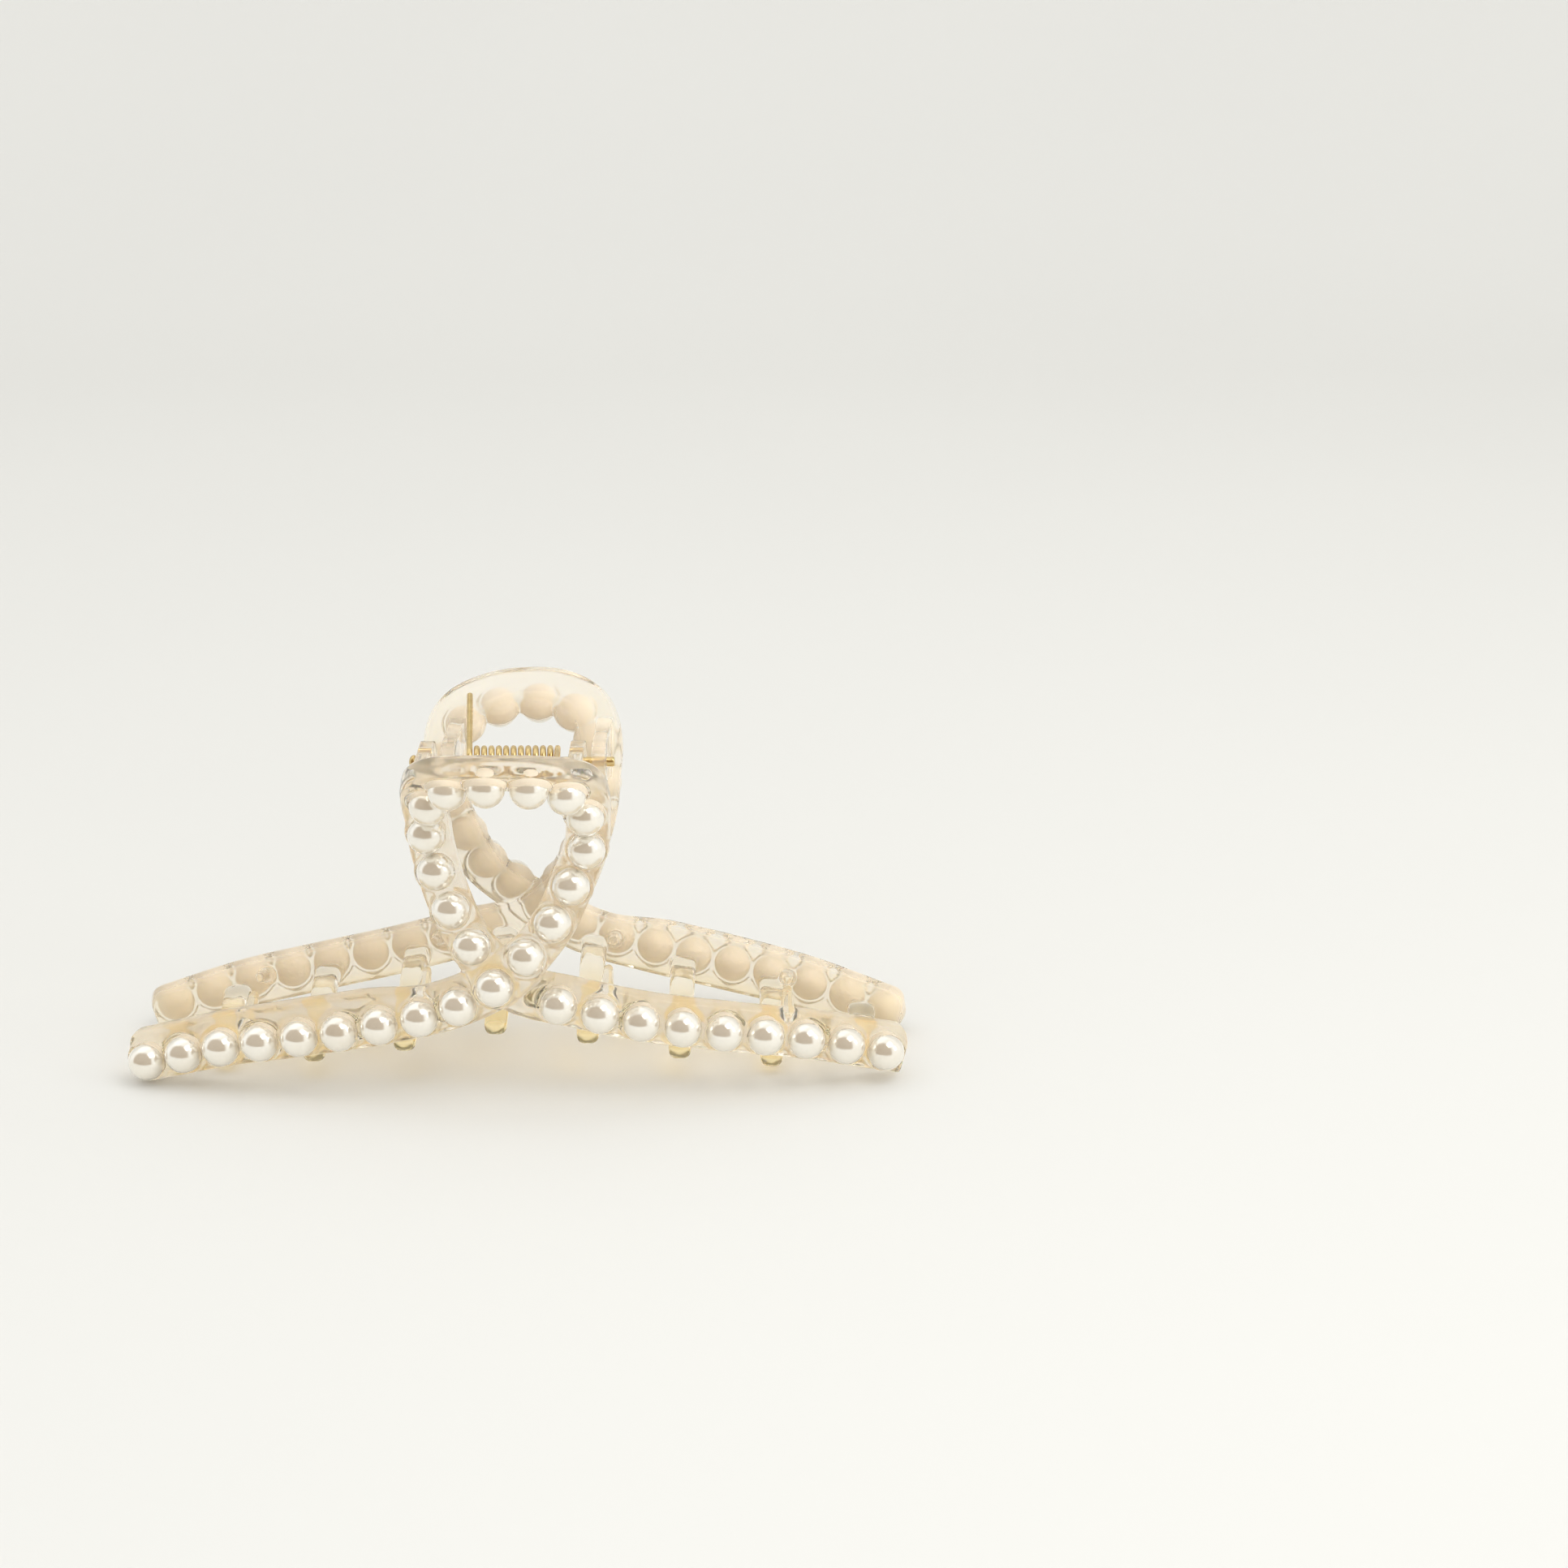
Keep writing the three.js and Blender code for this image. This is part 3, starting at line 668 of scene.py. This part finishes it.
def hinge_pin():
    """The pin, with its domed head on the low side and a worn edge on the other."""
    low = pin_low.x / MM
    high = pin_high.x / MM
    head, h = PIN_HEAD_RADIUS, PIN_HEAD
    profile = [(head * math.sin(a), low + h * PIN_DOME * (1 - math.cos(a))) for a in DOME_ANGLES]
    profile += [(head, low + h * PIN_BARREL), (head - PIN_HEAD_CHAMFER, low + h)]
    profile += [(PIN_RADIUS + r, low + h + d) for r, d in PIN_NECK]
    profile += [(PIN_RADIUS + r, high + d) for r, d in PIN_TIP]
    verts, faces = turned(profile, TURNED_SIDES, np.array([0, 0, HINGE_HEIGHT]),
                          np.array([1.0, 0, 0]), np.array([0, 1.0, 0]))
    pin = new_object("pin", verts, faces)
    soft_below(pin, EDGE_ANGLE["pin"])
    return pin


def spring_line():
    """Middle line of the wire: down one leg, round the turns, out along the other."""
    half = COIL_TURNS * COIL_PITCH / 2
    leg = np.array(REAR_LEG)
    top = np.array([0, 0, COIL_RADIUS])
    centre = np.array([-half, 0, HINGE_HEIGHT])
    points = [centre + leg + (top - leg) * t for t in np.linspace(0, 1 - LEG_BEND, LEG_POINTS)]
    for i in range(COIL_TURNS * TURN_STEPS + 1):
        a = math.pi / 2 + 2 * math.pi * i / TURN_STEPS
        points.append(np.array([-half + COIL_PITCH * i / TURN_STEPS, COIL_RADIUS * math.cos(a),
                                HINGE_HEIGHT + COIL_RADIUS * math.sin(a)]))
    end = np.array([half, 0, HINGE_HEIGHT])
    leg = np.array(FRONT_LEG)
    points += [end + top + (leg - top) * t for t in np.linspace(LEG_BEND, 1, LEG_POINTS)]
    return smoothed(np.array(points), WIRE_EASE)


def torsion_spring():
    spring = new_object("spring", *skin(wire(spring_line(), WIRE_RADIUS)))
    soft_below(spring, EDGE_ANGLE["spring"])
    return spring


# ---- materials ----

def material(name):
    mat = bpy.data.materials.new(name)
    mat.use_nodes = True
    tree = mat.node_tree
    return mat, tree, tree.nodes["Principled BSDF"]


def add(tree, kind, inputs=None, **settings):
    node = tree.nodes.new(kind)
    for key, value in settings.items():
        setattr(node, key, value)
    for key, value in (inputs or {}).items():
        node.inputs[key].default_value = value
    return node


def noise(tree, scale, detail=3.0):
    place = add(tree, "ShaderNodeTexCoord")
    texture = add(tree, "ShaderNodeTexNoise", {"Scale": scale, "Detail": detail})
    tree.links.new(place.outputs["Object"], texture.inputs["Vector"])
    return texture


def ramp(tree, source, stops):
    node = add(tree, "ShaderNodeValToRGB")
    node.color_ramp.elements[0].position, node.color_ramp.elements[0].color = stops[0]
    node.color_ramp.elements[1].position, node.color_ramp.elements[1].color = stops[-1]
    for position, colour in stops[1:-1]:
        node.color_ramp.elements.new(position).color = colour
    tree.links.new(source, node.inputs["Fac"])
    return node


def bump(tree, shader, height, strength, distance):
    node = add(tree, "ShaderNodeBump", {"Strength": strength, "Distance": distance})
    tree.links.new(height, node.inputs["Height"])
    tree.links.new(node.outputs["Normal"], shader.inputs["Normal"])


def acrylic_material():
    """Clear peach acrylic, milky on the side toward the hair, with a deeper tint painted at the
    tooth tips for light's long path through them.
    """
    mat, tree, shader = material("peach_acrylic")
    milk = add(tree, "ShaderNodeAttribute", attribute_name="milk")
    clear = ramp(tree, milk.outputs["Fac"],
                 [(0.0, (0.96, 0.96, 0.96, 1)), (1.0, (0.77, 0.77, 0.77, 1))])
    tree.links.new(clear.outputs["Color"], shader.inputs["Transmission Weight"])
    shader.inputs["IOR"].default_value = 1.28
    shader.inputs["Subsurface Weight"].default_value = 0.6
    shader.inputs["Subsurface Radius"].default_value = (1.0, 0.8, 0.5)
    shader.inputs["Subsurface Scale"].default_value = 0.004
    pale = ramp(tree, noise(tree, 60).outputs["Fac"],
                [(0.3, (1.0, 0.955, 0.87, 1)), (0.7, (1.0, 0.97, 0.91, 1))])
    peach = add(tree, "ShaderNodeMixRGB", {"Color2": (1.0, 0.905, 0.77, 1)})
    tree.links.new(milk.outputs["Fac"], peach.inputs["Fac"])
    tree.links.new(pale.outputs["Color"], peach.inputs["Color1"])
    # painted deeper tint at the tooth tips and the arms' lower edge, standing in for absorption
    # along light's long path through the acrylic
    painted_absorption_mask = add(tree, "ShaderNodeAttribute", attribute_name="painted_absorption")
    painted_absorption_mix = add(tree, "ShaderNodeMixRGB", {"Color2": (1.0, 0.84, 0.52, 1)})
    tree.links.new(painted_absorption_mask.outputs["Fac"], painted_absorption_mix.inputs["Fac"])
    tree.links.new(peach.outputs["Color"], painted_absorption_mix.inputs["Color1"])
    tree.links.new(painted_absorption_mix.outputs["Color"], shader.inputs["Base Color"])
    gloss = ramp(tree, noise(tree, 240, 4).outputs["Fac"],
                 [(0.35, (0.04, 0.04, 0.04, 1)), (0.75, (0.10, 0.10, 0.10, 1))])
    tree.links.new(gloss.outputs["Color"], shader.inputs["Roughness"])
    bump(tree, shader, noise(tree, 130, 2).outputs["Fac"], 0.10, 0.0005)
    let_lamps_through(tree, shader, (1.0, 0.96, 0.89, 1))
    return mat


def let_lamps_through(tree, shader, colour):
    """Lamps shine through the material, so what is under it isn't in full shade."""
    kind = add(tree, "ShaderNodeLightPath")
    clear = add(tree, "ShaderNodeBsdfTransparent", {"Color": colour})
    mix = add(tree, "ShaderNodeMixShader")
    tree.links.new(kind.outputs["Is Shadow Ray"], mix.inputs[0])
    tree.links.new(shader.outputs[0], mix.inputs[1])
    tree.links.new(clear.outputs[0], mix.inputs[2])
    tree.links.new(mix.outputs[0], tree.nodes["Material Output"].inputs["Surface"])


def pearl_material():
    """Ivory lacquer over a bead: a glossy coat with a little nacre depth beneath."""
    mat, tree, shader = material("ivory_pearl")
    cloud = ramp(tree, noise(tree, 180, 5).outputs["Fac"],
                 [(0.3, (0.90, 0.85, 0.75, 1)), (0.5, (0.93, 0.89, 0.80, 1)),
                  (0.75, (0.95, 0.92, 0.85, 1))])
    tree.links.new(cloud.outputs["Color"], shader.inputs["Base Color"])
    rough = ramp(tree, noise(tree, 500, 3).outputs["Fac"],
                 [(0.3, (0.12, 0.12, 0.12, 1)), (0.7, (0.17, 0.17, 0.17, 1))])
    tree.links.new(rough.outputs["Color"], shader.inputs["Roughness"])
    shader.inputs["Metallic"].default_value = 0.65
    shader.inputs["Coat Weight"].default_value = 1.0
    shader.inputs["Coat Roughness"].default_value = 0.06
    shader.inputs["Coat IOR"].default_value = 1.6
    shader.inputs["Sheen Weight"].default_value = 0.15
    bump(tree, shader, noise(tree, 900, 4).outputs["Fac"], 0.05, 0.0002)
    return mat


def glue_material():
    """Cream glue on the seated side of a pearl, seen through the acrylic."""
    mat, tree, shader = material("cream_glue")
    tone = ramp(tree, noise(tree, 260, 4).outputs["Fac"],
                [(0.3, (0.94, 0.86, 0.74, 1)), (0.7, (0.96, 0.90, 0.80, 1))])
    tree.links.new(tone.outputs["Color"], shader.inputs["Base Color"])
    shader.inputs["Roughness"].default_value = 0.6
    bump(tree, shader, noise(tree, 700, 3).outputs["Fac"], 0.2, 0.0002)
    return mat


def gold_material():
    mat, tree, shader = material("pale_gold")
    tone = ramp(tree, noise(tree, 400, 4).outputs["Fac"],
                [(0.3, (0.62, 0.45, 0.20, 1)), (0.7, (0.80, 0.63, 0.32, 1))])
    tree.links.new(tone.outputs["Color"], shader.inputs["Base Color"])
    shader.inputs["Metallic"].default_value = 1.0
    rough = ramp(tree, noise(tree, 1500, 3).outputs["Fac"],
                 [(0.3, (0.14, 0.14, 0.14, 1)), (0.7, (0.3, 0.3, 0.3, 1))])
    tree.links.new(rough.outputs["Color"], shader.inputs["Roughness"])
    bump(tree, shader, noise(tree, 2600, 3).outputs["Fac"], 0.15, 0.0001)
    return mat


def floor_material():
    mat, tree, shader = material("studio_paper")
    tone = ramp(tree, noise(tree, 3.0, 2).outputs["Fac"],
                [(0.3, (0.77, 0.766, 0.742, 1)), (0.7, (0.785, 0.781, 0.756, 1))])
    tree.links.new(tone.outputs["Color"], shader.inputs["Base Color"])
    shader.inputs["Roughness"].default_value = 0.8
    return mat


# ---- studio ----

def studio_floor():
    """Pale paper that runs flat under the clip and curves up behind it."""
    front, bend, top, half, radius = -2.2, 0.55, 1.6, 2.2, 0.5
    rows = [(front, 0.0), (bend, 0.0)]
    rows += [(bend + radius * math.sin(a), radius * (1 - math.cos(a)))
             for a in np.linspace(0.1, math.pi / 2, 16)]
    rows.append((bend + radius, top))
    verts = [(x / MM, y / MM, z / MM) for y, z in rows for x in (-half, half)]
    faces = [(2 * i, 2 * i + 1, 2 * i + 3, 2 * i + 2) for i in range(len(rows) - 1)]
    paper = new_object("studio_paper", verts, faces)
    if paper.data.polygons[0].normal.z < 0:
        paper.data.flip_normals()
    paper.data.materials.append(floor_material())


def area_light(name, place, size, power, colour, target=(0, 0, 0.03)):
    light = bpy.data.lights.new(name, "AREA")
    light.shape = "RECTANGLE"
    light.size, light.size_y = size
    light.energy = power
    light.color = colour
    obj = bpy.data.objects.new(name, light)
    obj.location = place
    aim = Vector(target) - Vector(place)
    obj.rotation_euler = aim.to_track_quat("-Z", "Y").to_euler()
    bpy.context.scene.collection.objects.link(obj)


def room():
    """White all round, and gloss also shows a dim warm patch behind the camera."""
    world = bpy.data.worlds.new("studio_room")
    world.use_nodes = True
    bpy.context.scene.world = world
    tree = world.node_tree
    place = add(tree, "ShaderNodeTexCoord")
    toward = add(tree, "ShaderNodeVectorMath", {1: (-0.35, -0.85, 0.25)}, operation="DOT_PRODUCT")
    tree.links.new(place.outputs["Generated"], toward.inputs[0])
    wall = ramp(tree, toward.outputs["Value"], [
        (0.0, (1.0, 1.0, 0.985, 1)), (0.40, (0.98, 0.975, 0.95, 1)),
        (0.56, (0.38, 0.275, 0.165, 1)), (1.0, (0.34, 0.245, 0.145, 1))])
    kind = add(tree, "ShaderNodeLightPath")
    seen = add(tree, "ShaderNodeMixRGB", {"Color1": (1.0, 1.0, 0.985, 1)})
    tree.links.new(kind.outputs["Is Glossy Ray"], seen.inputs["Fac"])
    tree.links.new(wall.outputs["Color"], seen.inputs["Color2"])
    tree.links.new(seen.outputs["Color"], tree.nodes["Background"].inputs["Color"])
    tree.nodes["Background"].inputs["Strength"].default_value = 1.02


def camera():
    """At the front, a little above, with the clip left of the middle of the view."""
    pitch, yaw, roll = (math.radians(a) for a in (19.2, 0.3, 0.3))
    distance, right, up = 0.5, 0.0424, 0.0442
    turn = (Matrix.Rotation(yaw, 3, "Z") @ Matrix.Rotation(math.pi / 2 - pitch, 3, "X")
            @ Matrix.Rotation(-roll, 3, "Z"))
    lens = bpy.data.cameras.new("view")
    lens.sensor_width = 36.0
    lens.lens = 70.25
    lens.clip_start = 0.01
    obj = bpy.data.objects.new("view", lens)
    obj.matrix_world = Matrix.Translation(turn @ Vector((right, up, distance))) @ turn.to_4x4()
    bpy.context.scene.collection.objects.link(obj)
    bpy.context.scene.camera = obj


# ---- putting it together ----

def dress(obj, mat, slot, *nodes):
    obj.data.materials.clear()
    obj.data.materials.append(mat)
    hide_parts(*nodes)
    return obj


def build_jaws(mat):
    front = fused_jaw()
    front.name = "front_jaw_moulding"
    rear = front.copy()
    rear.data = front.data.copy()
    rear.name = "rear_jaw_moulding"
    bpy.context.scene.collection.objects.link(rear)
    half_turn(rear)
    for side, jaw in (("front", front), ("rear", rear)):
        dress(jaw, mat, "clear_acrylic", f"{side}_jaw")
        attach(jaw, BODIES[side])


def glue_seated_side(pearl, frame_, mat):
    """Gives the faces below the rim of a pearl's cup the glue's material."""
    pearl.data.materials.append(mat)
    centre = pearl_centre(frame_)
    out = frame_[3]
    if pearl.name.startswith("rear"):
        centre, out = centre * (-1, -1, 1), out * (-1, -1, 1)
    for face in pearl.data.polygons:
        if np.dot(np.array(face.center) / MM - centre, out) < GLUE_LEVEL:
            face.material_index = 1


def build_pearls(mat, glue):
    for side, body in BODIES.items():
        for row, frames in PEARLS.items():
            for i, frame_ in enumerate(frames):
                mark = MARK_DEPTH if (i + len(row)) % MARK_EVERY == 0 else 0.0
                shell = ball_shell(pearl_centre(frame_), PEARL_RADIUS, frame_,
                                   PEARL_RINGS, PEARL_SIDES, mark)
                pearl = new_object(f"{side}_{row}_pearl_{i + 1:02d}_bead", *shell)
                if side == "rear":
                    half_turn(pearl)
                dress(pearl, mat, "pearl", f"{side}_{pearl_nodes(row, i)}")
                glue_seated_side(pearl, frame_, glue)
                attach(pearl, body)


def build_metal(mat):
    pin = dress(hinge_pin(), mat, "gold_metal", "hinge_pin")
    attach(pin, "front_half")
    spring = dress(torsion_spring(), mat, "gold_metal", "torsion_spring")
    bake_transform(spring)


camera()
studio_floor()
room()
area_light("key_softbox", (0.28, -0.22, 0.56), (0.38, 0.30), 0.85, (1.0, 0.985, 0.955))
area_light("side_softbox", (0.70, -0.25, 0.38), (0.20, 0.30), 0.4, (1.0, 1.0, 0.98))
area_light("back_softbox", (-0.25, 0.25, 0.75), (0.9, 0.6), 0.4, (1.0, 0.985, 0.96))
bpy.context.scene.view_settings.view_transform = "Standard"

build_jaws(acrylic_material())
build_pearls(pearl_material(), glue_material())
build_metal(gold_material())
